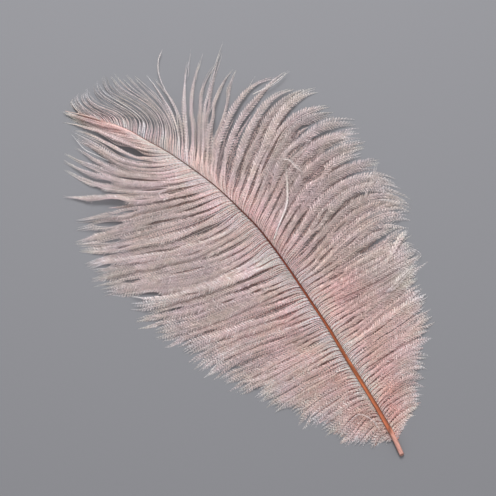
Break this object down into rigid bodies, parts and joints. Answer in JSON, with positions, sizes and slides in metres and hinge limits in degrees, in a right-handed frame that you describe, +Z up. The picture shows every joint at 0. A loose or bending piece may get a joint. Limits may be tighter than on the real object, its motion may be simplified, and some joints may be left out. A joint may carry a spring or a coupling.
{
  "type": "ostrich feather",
  "caption": "Fluffy dyed ostrich plume in pale blush, lying flat: a slender curved shaft with soft drooping locks of barbs on both sides.",
  "frame": {"origin": "middle of the feather's box, on the surface that it lies on", "axes": "+X along the feather from the quill to the tip, +Y towards its left vane as seen from above, +Z up"},
  "size_m": [0.307, 0.1876, 0.0132],
  "materials": {
    "barbs": "matte, downy",
    "shaft": "horny, slightly glossy"
  },
  "bodies": {
    "root": {"feather": "barbs"}
  },
  "joints": []
}
